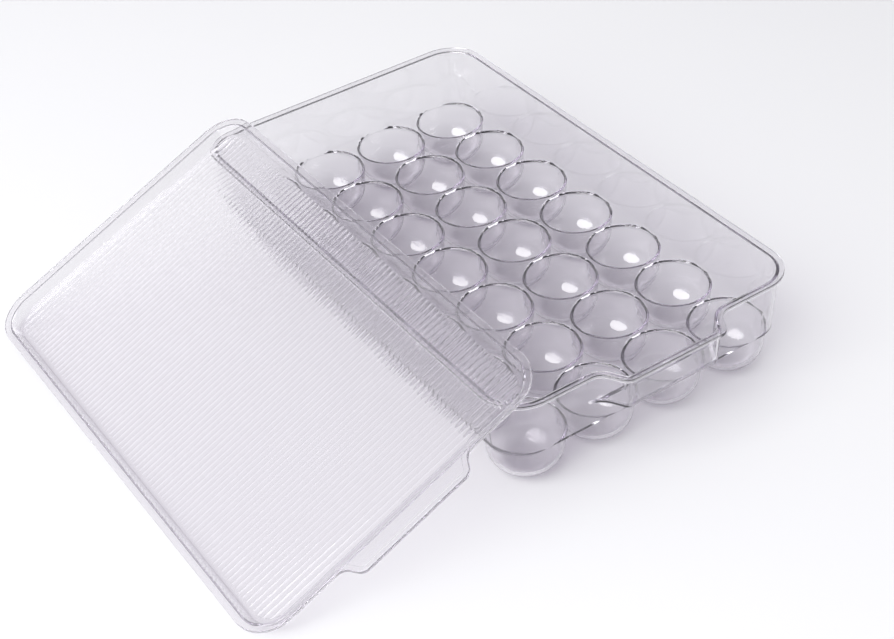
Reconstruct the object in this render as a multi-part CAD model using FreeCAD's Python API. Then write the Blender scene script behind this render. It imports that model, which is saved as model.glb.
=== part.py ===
"""Lidded egg tray for 28 eggs, in clear moulded plastic. Two pieces: the tray and its lift-off lid.

X runs across the tray, Y along it with the finger handle at -Y, and Z is up. The lid leans against
the tray's left rim and stands on the foot of its own step, which is how it lies when the tray is being
filled. The origin is on the table, in the middle of the footprint of tray and leaning lid together.
"""

import FreeCAD, Part
import math
import os

from FreeCAD import Vector

# Cups
COLUMNS = 4
ROWS = 7
PITCH_X = 50.5
PITCH_Y = 50.0
DECK_HEIGHT = 29.3         # table to the top of the deck that joins the cups
CUP_RADIUS = 24.4          # outside, where a cup meets the deck
CUP_BELLY_RADIUS = 23.4    # outside, where the bowl starts to round in
BOWL_RADIUS = 17.0         # of the rounding between a cup's side and its foot
MOUTH_ROUND = 1.8          # of the rounded edge where the deck turns down into a cup

# Tray walls and rim
WALL = 1.9
DECK_THICKNESS = 2.0
RIM_WIDTH = 215.0
RIM_LENGTH = 360.0
RIM_CORNER = 26.0
RIM_HEIGHT = 70.0
FLANGE_WIDTH = 3.0         # how far the rim stands out from the wall
FLANGE_THICKNESS = 2.4
WALL_DRAFT = 2.8 / 45.0    # how far a wall leans in for each millimetre down
REBATE_WIDTH = 1.1         # step along the inner edge of the rim
REBATE_DEPTH = 0.9
BASE_ROUND = 2.0           # along the lower edge of the walls

# Finger handle: the front wall's upper part, pushed out as a flat-bottomed bay
HANDLE_ROOT = 44.5         # half width at the wall
HANDLE_FRONT = 35.5        # half width at its front
HANDLE_REACH = 16.0
HANDLE_ROOT_RADIUS = 9.0
HANDLE_FRONT_RADIUS = 8.0
HANDLE_FLOOR = 44.0        # height of its underside
HANDLE_BEVEL = 2.4         # along its lower edge
HANDLE = (HANDLE_ROOT, HANDLE_FRONT, HANDLE_REACH, HANDLE_ROOT_RADIUS, HANDLE_FRONT_RADIUS)

# Lid
LID_INSET = 2.0            # lid outline inside the rim outline
LID_THICKNESS = 1.8
LID_BEAD_WIDTH = 3.2       # raised bead along the outer edge
LID_BEAD_HEIGHT = 0.7
LID_STEP_INSET = 3.8       # where the underside steps down to the panel
LID_STEP_DEPTH = 6.6
LID_STEP_RUN = 3.0
RIB_BORDER = 10.7          # plain border of the panel, from the lid's edge
RIB_PITCH = 4.1
RIB_HEIGHT = 0.35
TAB_ROOT = 46.0            # half widths of the finger tab at the lid's front edge
TAB_FRONT = 39.5
TAB_REACH = 12.0
TAB_ROOT_RADIUS = 6.0
TAB_FRONT_RADIUS = 9.0
TAB = (TAB_ROOT, TAB_FRONT, TAB_REACH, TAB_ROOT_RADIUS, TAB_FRONT_RADIUS)

# Where the lid leans
LID_TILT = 24.0            # degrees
LID_SHIFT = -5.85          # along Y, from the middle of the tray
LID_GAP = 0.1              # between the lid's panel and the rim it leans on

EDGE_ROUND = 0.7           # on the outer edges of the rim and the lid
SMALLEST_RADIUS = 0.8      # of any corner of an outline
OVERSHOOT = 2.0            # how far cutting shapes run past what they cut
LEVEL_TOLERANCE = 0.01


def cross(a, b):
    return a.x * b.y - a.y * b.x


def outline_corners(offset, handle=None):
    """Corners (point, radius) of the rim outline, counter-clockwise, moved outwards by offset.

    handle is (half width at the wall, half width at the front, reach, root radius, front radius).
    """
    half_x = RIM_WIDTH / 2
    half_y = RIM_LENGTH / 2
    corners = [(half_x, half_y, RIM_CORNER), (-half_x, half_y, RIM_CORNER), (-half_x, -half_y, RIM_CORNER)]
    if handle:
        root, front, reach, root_radius, front_radius = handle
        corners.append((-root, -half_y, root_radius))
        corners.append((-front, -half_y - reach, front_radius))
        corners.append((front, -half_y - reach, front_radius))
        corners.append((root, -half_y, root_radius))
    corners.append((half_x, -half_y, RIM_CORNER))
    points = [Vector(x, y, 0) for x, y, _ in corners]
    moved = []
    for i, point in enumerate(points):
        before = (point - points[i - 1]).normalize()
        after = (points[(i + 1) % len(points)] - point).normalize()
        normal_before = Vector(before.y, -before.x, 0)
        normal_after = Vector(after.y, -after.x, 0)
        shift = (normal_before + normal_after) * (offset / (1 + normal_before.dot(normal_after)))
        grow = offset if cross(before, after) > 0 else -offset
        moved.append((point + shift, max(corners[i][2] + grow, SMALLEST_RADIUS)))
    return moved


def rounded_wire(corners, z):
    """A closed wire of straight lines and tangent arcs at height z."""
    ends = []
    arcs = []
    for i, (point, radius) in enumerate(corners):
        before = (point - corners[i - 1][0]).normalize()
        after = (corners[(i + 1) % len(corners)][0] - point).normalize()
        turn = before.getAngle(after)
        tangent = radius * math.tan(turn / 2)
        start = point - before * tangent
        end = point + after * tangent
        to_centre = (after - before).normalize()
        middle = point + to_centre * (radius / math.cos(turn / 2) - radius)
        lift = Vector(0, 0, z)
        arcs.append(Part.Arc(start + lift, middle + lift, end + lift).toShape())
        ends.append((start + lift, end + lift))
    edges = []
    for i, arc in enumerate(arcs):
        edges.append(arc)
        edges.append(Part.makeLine(ends[i][1], ends[(i + 1) % len(ends)][0]))
    return Part.Wire(edges)


def prism(offset, low, high, handle=None):
    """A straight-sided block with the rim outline moved by offset."""
    face = Part.Face(rounded_wire(outline_corners(offset, handle), low))
    return face.extrude(Vector(0, 0, high - low))


def tapered(offset_low, low, offset_high, high, handle=None):
    """A block whose outline changes evenly from one offset to the other."""
    wires = [
        rounded_wire(outline_corners(offset_low, handle), low),
        rounded_wire(outline_corners(offset_high, handle), high),
    ]
    return Part.makeLoft(wires, True, True)


def wall_offset(z):
    """Offset of the wall's outer face from the rim outline, at height z."""
    return -FLANGE_WIDTH - WALL_DRAFT * (RIM_HEIGHT - z)


def walled_block(low, high, floor, inset, base_round=0):
    """The tray's walls as a full block: the plain tapered box and, from floor up, the handle's bay."""
    bevel_top = floor + HANDLE_BEVEL
    bevel_offset = wall_offset(bevel_top) - inset
    top_offset = wall_offset(high) - inset
    box = tapered(wall_offset(low) - inset, low, top_offset, high)
    if base_round:
        box = rounded_edges(box, base_round, [low])
    bevel = tapered(bevel_offset - HANDLE_BEVEL, floor, bevel_offset, bevel_top, HANDLE)
    bay = tapered(bevel_offset, bevel_top, top_offset, high, HANDLE)
    return box.fuse([bevel, bay])


def rounded_edges(shape, radius, heights):
    """Rounds every level edge of a block that lies at one of these heights."""
    level = [
        edge for edge in shape.Edges
        if edge.BoundBox.ZLength < LEVEL_TOLERANCE
        and min(abs(edge.BoundBox.ZMin - z) for z in heights) < LEVEL_TOLERANCE
    ]
    return shape.makeFillet(radius, level)


def bowl(radius, belly_radius, foot_level, bowl_radius, top):
    """A cup's full shape: side, bowl rounding and flat foot, turned about the cup's axis."""
    belly_level = foot_level + bowl_radius
    foot_radius = belly_radius - bowl_radius
    diagonal = bowl_radius * math.sqrt(0.5)
    belly = Vector(belly_radius, 0, belly_level)
    quarter = Vector(foot_radius + diagonal, 0, belly_level - diagonal)
    foot = Vector(foot_radius, 0, foot_level)
    edges = [
        Part.makeLine(Vector(0, 0, top), Vector(radius, 0, top)),
        Part.makeLine(Vector(radius, 0, top), belly),
        Part.Arc(belly, quarter, foot).toShape(),
        Part.makeLine(foot, Vector(0, 0, foot_level)),
        Part.makeLine(Vector(0, 0, foot_level), Vector(0, 0, top)),
    ]
    return Part.Face(Part.Wire(edges)).revolve(Vector(0, 0, 0), Vector(0, 0, 1), 360)


def at_cups(shape):
    """Copies of a shape on every cup's axis."""
    copies = []
    for column in range(COLUMNS):
        for row in range(ROWS):
            x = (column - (COLUMNS - 1) / 2) * PITCH_X
            y = (row - (ROWS - 1) / 2) * PITCH_Y
            copies.append(shape.translated(Vector(x, y, 0)))
    return copies


def mouth_flare(radius):
    """Ring of material that a cup's rounded mouth takes out of the deck around a hole of this radius."""
    low = DECK_HEIGHT - MOUTH_ROUND
    centre = Vector(radius + MOUTH_ROUND, 0, low)
    diagonal = MOUTH_ROUND * math.sqrt(0.5)
    start = Vector(radius, 0, low)
    middle = centre + Vector(-diagonal, 0, diagonal)
    end = centre + Vector(0, 0, MOUTH_ROUND)
    inner = Vector(radius - MOUTH_ROUND, 0, 0)
    edges = [
        Part.Arc(start, middle, end).toShape(),
        Part.makeLine(end, inner + Vector(0, 0, DECK_HEIGHT)),
        Part.makeLine(inner + Vector(0, 0, DECK_HEIGHT), inner + Vector(0, 0, low)),
        Part.makeLine(inner + Vector(0, 0, low), start),
    ]
    return Part.Face(Part.Wire(edges)).revolve(Vector(0, 0, 0), Vector(0, 0, 1), 360)


def tray():
    deck_bottom = DECK_HEIGHT - DECK_THICKNESS
    block = walled_block(deck_bottom, RIM_HEIGHT, HANDLE_FLOOR, 0, BASE_ROUND)
    flange_bottom = RIM_HEIGHT - FLANGE_THICKNESS
    flange = rounded_edges(prism(0, flange_bottom, RIM_HEIGHT, HANDLE), EDGE_ROUND, [flange_bottom, RIM_HEIGHT])
    hollow = walled_block(DECK_HEIGHT, RIM_HEIGHT + OVERSHOOT, HANDLE_FLOOR + WALL, WALL)
    rim_inner = wall_offset(RIM_HEIGHT) - WALL
    rebate = prism(rim_inner + REBATE_WIDTH, RIM_HEIGHT - REBATE_DEPTH, RIM_HEIGHT + OVERSHOOT, HANDLE)
    walls = block.fuse(flange).cut(hollow).cut(rebate)

    cup = bowl(CUP_RADIUS, CUP_BELLY_RADIUS, 0, BOWL_RADIUS, DECK_HEIGHT)
    mouth_radius = CUP_RADIUS - WALL
    pocket = bowl(mouth_radius, CUP_BELLY_RADIUS - WALL, WALL, BOWL_RADIUS - WALL, DECK_HEIGHT)
    deck_inside = tapered(
        wall_offset(deck_bottom) - WALL, deck_bottom,
        wall_offset(DECK_HEIGHT) - WALL, DECK_HEIGHT,
    )
    flares = [deck_inside.common(flare) for flare in at_cups(mouth_flare(mouth_radius))]
    return walls.fuse(at_cups(cup)).cut(at_cups(pocket) + flares).removeSplitter()


def ribbed_sheet(top, low):
    """A sheet whose top is a row of rounded ribs that run along X."""
    count = 2 * int((RIM_LENGTH / 2 - RIB_BORDER) / RIB_PITCH + 1)
    half = count * RIB_PITCH / 2
    x = -RIM_WIDTH / 2
    edges = []
    for i in range(count):
        y = -half + i * RIB_PITCH
        start = Vector(x, y, top)
        crest = Vector(x, y + RIB_PITCH / 2, top + RIB_HEIGHT)
        end = Vector(x, y + RIB_PITCH, top)
        edges.append(Part.Arc(start, crest, end).toShape())
    edges.append(Part.makeLine(Vector(x, half, top), Vector(x, half, low)))
    edges.append(Part.makeLine(Vector(x, half, low), Vector(x, -half, low)))
    edges.append(Part.makeLine(Vector(x, -half, low), Vector(x, -half, top)))
    return Part.Face(Part.Wire(edges)).extrude(Vector(RIM_WIDTH, 0, 0))


def flat_lid():
    """The lid lying flat, with the underside of its border at height 0."""
    edge = -LID_INSET
    border_top = LID_THICKNESS
    bead_top = border_top + LID_BEAD_HEIGHT
    panel_top = LID_THICKNESS - LID_STEP_DEPTH
    step = edge - LID_STEP_INSET
    step_foot = step - LID_STEP_RUN
    step_slant = math.hypot(LID_STEP_RUN, LID_STEP_DEPTH)
    step_wall = LID_THICKNESS * (step_slant - LID_STEP_RUN) / LID_STEP_DEPTH

    body = rounded_edges(prism(edge, 0, bead_top, TAB), EDGE_ROUND, [0, bead_top])
    body = body.cut(prism(edge - LID_BEAD_WIDTH, border_top, bead_top + OVERSHOOT, TAB))
    drop = tapered(step_foot, -LID_STEP_DEPTH, step, 0)
    body = body.fuse(drop)
    well = tapered(step_foot - step_wall, panel_top, step - step_wall, border_top)
    body = body.cut(well)
    ribs = ribbed_sheet(panel_top, panel_top - LID_THICKNESS / 2)
    ribs = ribs.common(prism(edge - RIB_BORDER, -LID_STEP_DEPTH, bead_top))
    return body.fuse(ribs).removeSplitter()


def lid_corner():
    """Where the lower left corner of the lid's border goes, before rounding, for the foot of its step to
    stand on the table and its panel to lie on the rounded edge of the tray's left rim."""
    sine = math.sin(math.radians(LID_TILT))
    cosine = math.cos(math.radians(LID_TILT))
    z = LID_STEP_DEPTH * cosine - (LID_STEP_INSET + LID_STEP_RUN) * sine
    rim_x = -RIM_WIDTH / 2 + EDGE_ROUND
    rim_z = RIM_HEIGHT - EDGE_ROUND
    stand_off = LID_STEP_DEPTH + LID_GAP + EDGE_ROUND
    x = rim_x - ((rim_z - z) * cosine + stand_off) / sine
    return Vector(x, LID_SHIFT, z)


def lid():
    shape = flat_lid()
    shape.translate(Vector(RIM_WIDTH / 2 - LID_INSET, 0, 0))
    shape.rotate(Vector(0, 0, 0), Vector(0, 1, 0), -LID_TILT)
    shape.translate(lid_corner())
    return shape


def main():
    os.makedirs("parts", exist_ok=True)
    pieces = {"egg_tray": tray(), "lid": lid()}
    footprint = Part.makeCompound(list(pieces.values())).optimalBoundingBox(False)
    to_origin = Vector(-footprint.Center.x, -footprint.Center.y, 0)
    for name, shape in pieces.items():
        shape.translated(to_origin).exportStep(f"parts/{name}.step")


main()
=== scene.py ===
"""Clear egg tray with its ribbed lid leaning on the rim, on a pale studio floor."""

import math

import bpy
from mathutils import Matrix, Vector


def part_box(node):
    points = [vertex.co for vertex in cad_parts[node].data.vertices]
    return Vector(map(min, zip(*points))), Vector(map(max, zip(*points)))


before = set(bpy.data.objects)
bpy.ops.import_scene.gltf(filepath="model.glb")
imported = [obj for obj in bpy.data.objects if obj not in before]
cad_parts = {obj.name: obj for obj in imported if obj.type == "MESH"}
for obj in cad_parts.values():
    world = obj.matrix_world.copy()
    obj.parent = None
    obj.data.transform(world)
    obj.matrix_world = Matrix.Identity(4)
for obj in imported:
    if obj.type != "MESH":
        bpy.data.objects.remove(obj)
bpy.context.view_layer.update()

MM = 0.001

# Camera: angles in degrees, and the point it looks at, measured from the foot of the tray's back wall
CAMERA_AZIMUTH = -31.05
CAMERA_ELEVATION = 38.12
CAMERA_ROLL = 4.863
CAMERA_DISTANCE = 1091.3 * MM
CAMERA_AIM = Vector((-54.6, -219.1, 26.5)) * MM
CAMERA_LENS = 70.82
CAMERA_NEAR = 50 * MM

# Clear plastic
PLASTIC_IOR = 1.57
PLASTIC_TINT = (0.71, 0.68, 0.74)
HAZE_COLOUR = (0.95, 0.95, 0.97)
EDGE_ON_SHADE = (0.6, 0.58, 0.62)   # left of the light by a wall that it meets edge-on
# painted shade: from this facing value on, the plastic's colour is darkened edge-on
PAINTED_EDGE_SHADE_BEGIN = 0.5                 # of the facing value, where a wall starts to look darker
FACING_BLEND = 0.35
SMUDGE_SCALE = 18.0                 # noise scales: features for each metre
SMUDGE_CLEAN = 0.35                 # noise values that are the cleanest and the dullest
SMUDGE_FULL = 0.7
CLEAN_SHARE = 0.25                  # roughness of a clean spot, as a share of the dullest
GRAIN_SCALE = 900.0
GRAIN_DEPTH = 0.2 * MM
GRAIN_SHARE = 1 / 3                 # strength of the grain, as a share of the flow waves
FLOW_SCALE = 35.0
FLOW_DEPTH = 2 * MM

# Floor
FLOOR_SIZE = 12.0
FLOOR_DARK = (0.88, 0.88, 0.9)
FLOOR_LIGHT = (0.9, 0.9, 0.915)
FLOOR_ROUGHNESS = 0.6
FLOOR_TONE_SCALE = 3.0

# Studio: brightness by direction
STUDIO_COLOUR = (0.97, 0.965, 1.0)
STUDIO_LEVEL = 0.58
DARK_SIDE = (-0.36, -0.86, 0.36)    # behind the viewer
DARK_LEVEL = 0.2
DARK_EDGE = 0.0                     # where it begins and is complete, as the cosine from DARK_SIDE
DARK_CORE = 0.6
GLOW_SIDE = (0.3, 0.95, 0)          # low at the back, only seen in reflections
GLOW_LEVEL = 2.8
GLOW_EDGE = 0.3
GLOW_CORE = 0.9
GLOW_FULL_BELOW = 0.1               # heights of the direction between which it fades
GLOW_NONE_ABOVE = 0.55

KEY_PLACE = Vector((-2.24, -0.64, 2.18))
KEY_SIZE = 3.2
KEY_WATTS = 137

MOST_BOUNCES = 32
MOST_REFLECTIONS = 12
MOST_CLEAR_LAYERS = 48


def opaque(colour):
    """A colour with full alpha, as the colour sockets take it."""
    return (*colour, 1)


class Nodes:
    """Short calls to add and join the nodes of one material or world."""

    def __init__(self, owner):
        owner.use_nodes = True
        self.tree = owner.node_tree
        self.tree.nodes.clear()

    def add(self, kind, inputs=None, **settings):
        node = self.tree.nodes.new(kind)
        for name, value in settings.items():
            setattr(node, name, value)
        for name, value in (inputs or {}).items():
            socket = node.inputs[name]
            if isinstance(value, bpy.types.NodeSocket):
                self.tree.links.new(value, socket)
            else:
                socket.default_value = value
        return node

    def ramp(self, factor, low, high, to_low, to_high):
        node = self.add("ShaderNodeMapRange", {"Value": factor, "From Min": low, "From Max": high,
                                               "To Min": to_low, "To Max": to_high})
        return node.outputs["Result"]

    def math(self, operation, *values):
        return self.add("ShaderNodeMath", dict(enumerate(values)), operation=operation).outputs[0]

    def dot(self, a, b):
        return self.add("ShaderNodeVectorMath", {0: a, 1: b}, operation="DOT_PRODUCT").outputs["Value"]

    def noise(self, place, scale, detail):
        node = self.add("ShaderNodeTexNoise", {"Vector": place, "Scale": scale, "Detail": detail})
        return node.outputs["Fac"]

    def mix_colours(self, factor, a, b):
        node = self.add("ShaderNodeMix", {"Factor": factor, "A": opaque(a), "B": opaque(b)}, data_type="RGBA")
        return node.outputs[2]

    def mix_shaders(self, factor, a, b):
        return self.add("ShaderNodeMixShader", {"Fac": factor, 1: a, 2: b}).outputs[0]


def plastic_bump(n, place, waviness):
    """Slow flow waves over a fine grain."""
    grain = n.noise(place, GRAIN_SCALE, 2.0)
    flow = n.noise(place, FLOW_SCALE, 1.0)
    fine = n.add("ShaderNodeBump", {"Height": grain, "Strength": waviness * GRAIN_SHARE,
                                    "Distance": GRAIN_DEPTH})
    waves = n.add("ShaderNodeBump", {"Height": flow, "Strength": waviness, "Distance": FLOW_DEPTH,
                                     "Normal": fine.outputs["Normal"]})
    return waves.outputs["Normal"]


def plastic_haze(n):
    """A white scatter, half forward and half back."""
    forward = n.add("ShaderNodeBsdfTranslucent", {"Color": opaque(HAZE_COLOUR)})
    back = n.add("ShaderNodeBsdfDiffuse", {"Color": opaque(HAZE_COLOUR)})
    return n.mix_shaders(0.5, back.outputs[0], forward.outputs[0])


def clear_plastic(name, clarity, face_shade, haze, waviness, dullest, shine, painted_edge_shade, density):
    """Clear moulded plastic, faintly tinted and hazy, with flow waves, fine grain and smudges.

    clarity colours what is seen through it, and face_shade the light that it lets on to other things.
    haze is the share of light that it scatters, dullest the roughness of its smudges, shine the strength
    of its mirror image, the edge shade how far its colour is darkened edge-on (a painted shade that stands in
    for the dark surroundings mirrored at grazing angles), and density how fast it absorbs.
    """
    material = bpy.data.materials.new(name)
    n = Nodes(material)
    place = n.add("ShaderNodeTexCoord").outputs["Object"]
    smudge = n.noise(place, SMUDGE_SCALE, 4.0)
    facing = n.add("ShaderNodeLayerWeight", {"Blend": FACING_BLEND}).outputs["Facing"]
    # painted shade: the colour seen through the plastic darkens edge-on, in place of the dark surroundings
    # mirrored at grazing angles
    painted_edge_darkening = n.ramp(facing, PAINTED_EDGE_SHADE_BEGIN, 1, 1, 1 - painted_edge_shade)
    colour = n.add("ShaderNodeVectorMath", {0: clarity, "Scale": painted_edge_darkening}, operation="SCALE")
    body = n.add("ShaderNodeBsdfPrincipled", {
        "Base Color": colour.outputs[0],
        "Roughness": n.ramp(smudge, SMUDGE_CLEAN, SMUDGE_FULL, dullest * CLEAN_SHARE, dullest),
        "IOR": PLASTIC_IOR,
        "Specular IOR Level": shine,
        "Transmission Weight": 1.0,
        "Normal": plastic_bump(n, place, waviness),
    })
    hazy = n.mix_shaders(haze, body.outputs[0], plastic_haze(n))
    shade = n.mix_colours(facing, face_shade, EDGE_ON_SHADE)
    through = n.add("ShaderNodeBsdfTransparent", {"Color": shade})
    path = n.add("ShaderNodeLightPath")
    lighting = n.math("MAXIMUM", path.outputs["Is Shadow Ray"], path.outputs["Is Diffuse Ray"])
    surface = n.mix_shaders(lighting, hazy, through.outputs[0])
    depth = n.add("ShaderNodeVolumeAbsorption", {"Color": opaque(PLASTIC_TINT), "Density": density})
    n.add("ShaderNodeOutputMaterial", {"Surface": surface, "Volume": depth.outputs[0]})
    return material


def tray_plastic():
    return clear_plastic("tray_plastic", (0.95, 0.945, 0.955), (0.92, 0.91, 0.925),
                         haze=0.01, waviness=0.05, dullest=0.05, shine=0.5, painted_edge_shade=0.1, density=60)


def lid_plastic():
    return clear_plastic("lid_plastic", (1.0, 0.995, 1.0), (0.985, 0.98, 0.985),
                         haze=0.055, waviness=0.005, dullest=0.04, shine=0.3, painted_edge_shade=0.85, density=90)


def paint(obj, material):
    obj.data.materials.clear()
    obj.data.materials.append(material)


def floor():
    """A wide pale sheet with a faint uneven tone."""
    bpy.ops.mesh.primitive_plane_add(size=FLOOR_SIZE)
    sheet = bpy.context.object
    sheet.name = "floor"
    material = bpy.data.materials.new("pale_floor")
    n = Nodes(material)
    place = n.add("ShaderNodeTexCoord").outputs["Object"]
    colour = n.mix_colours(n.noise(place, FLOOR_TONE_SCALE, 2.0), FLOOR_DARK, FLOOR_LIGHT)
    surface = n.add("ShaderNodeBsdfPrincipled", {"Base Color": colour, "Roughness": FLOOR_ROUGHNESS})
    n.add("ShaderNodeOutputMaterial", {"Surface": surface.outputs[0]})
    paint(sheet, material)


def studio():
    """A pale studio all round, with a dark space behind the viewer that draws the clear edges, and a low
    glow at the back that draws the ribs."""
    world = bpy.data.worlds.new("studio")
    bpy.context.scene.world = world
    n = Nodes(world)
    direction = n.add("ShaderNodeTexCoord").outputs["Generated"]
    level = n.ramp(n.dot(direction, DARK_SIDE), DARK_EDGE, DARK_CORE, STUDIO_LEVEL, DARK_LEVEL)
    height = n.add("ShaderNodeSeparateXYZ", {"Vector": direction}).outputs["Z"]
    sideways = n.ramp(n.dot(direction, GLOW_SIDE), GLOW_EDGE, GLOW_CORE, 0, GLOW_LEVEL)
    glow = n.math("MULTIPLY", sideways, n.ramp(height, GLOW_FULL_BELOW, GLOW_NONE_ABOVE, 1, 0))
    path = n.add("ShaderNodeLightPath")
    mirrored = n.math("MULTIPLY_ADD", glow, path.outputs["Is Glossy Ray"], level)
    seen = n.add("ShaderNodeMix", {"Factor": path.outputs["Is Camera Ray"], "A": mirrored, "B": 1.0})
    background = n.add("ShaderNodeBackground", {"Color": opaque(STUDIO_COLOUR), "Strength": seen.outputs[0]})
    n.add("ShaderNodeOutputWorld", {"Surface": background.outputs[0]})


def key_light():
    """One large round light, high at the left, that points at the origin."""
    data = bpy.data.lights.new("key", "AREA")
    data.shape = "DISK"
    data.size = KEY_SIZE
    data.energy = KEY_WATTS
    light = bpy.data.objects.new("key", data)
    bpy.context.scene.collection.objects.link(light)
    light.location = KEY_PLACE
    light.rotation_euler = (-KEY_PLACE).to_track_quat("-Z", "Y").to_euler()


def camera():
    """The viewer, above the left front of the tray."""
    azimuth, elevation, roll = (math.radians(a) for a in (CAMERA_AZIMUTH, CAMERA_ELEVATION, CAMERA_ROLL))
    back = Vector((
        math.sin(azimuth) * math.cos(elevation),
        -math.cos(azimuth) * math.cos(elevation),
        math.sin(elevation),
    ))
    right = Vector((0, 0, 1)).cross(back).normalized()
    up = back.cross(right)
    turn = Matrix((right, up, back)).transposed() @ Matrix.Rotation(-roll, 3, "Z")
    data = bpy.data.cameras.new("camera")
    data.lens = CAMERA_LENS
    data.clip_start = CAMERA_NEAR
    viewer = bpy.data.objects.new("camera", data)
    bpy.context.scene.collection.objects.link(viewer)
    viewer.matrix_world = turn.to_4x4()
    low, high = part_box("egg_tray")
    tray_back = Vector(((low.x + high.x) / 2, high.y, low.z))
    viewer.location = tray_back + CAMERA_AIM + back * CAMERA_DISTANCE
    bpy.context.scene.camera = viewer


def light_paths():
    """Enough bounces for light to pass every wall of clear plastic."""
    cycles = bpy.context.scene.cycles
    cycles.max_bounces = MOST_BOUNCES
    cycles.transmission_bounces = MOST_BOUNCES
    cycles.glossy_bounces = MOST_REFLECTIONS
    cycles.transparent_max_bounces = MOST_CLEAR_LAYERS


paint(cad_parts["egg_tray"], tray_plastic())
paint(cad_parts["lid"], lid_plastic())
floor()
studio()
key_light()
camera()
light_paths()
bpy.context.scene.view_settings.view_transform = "Standard"
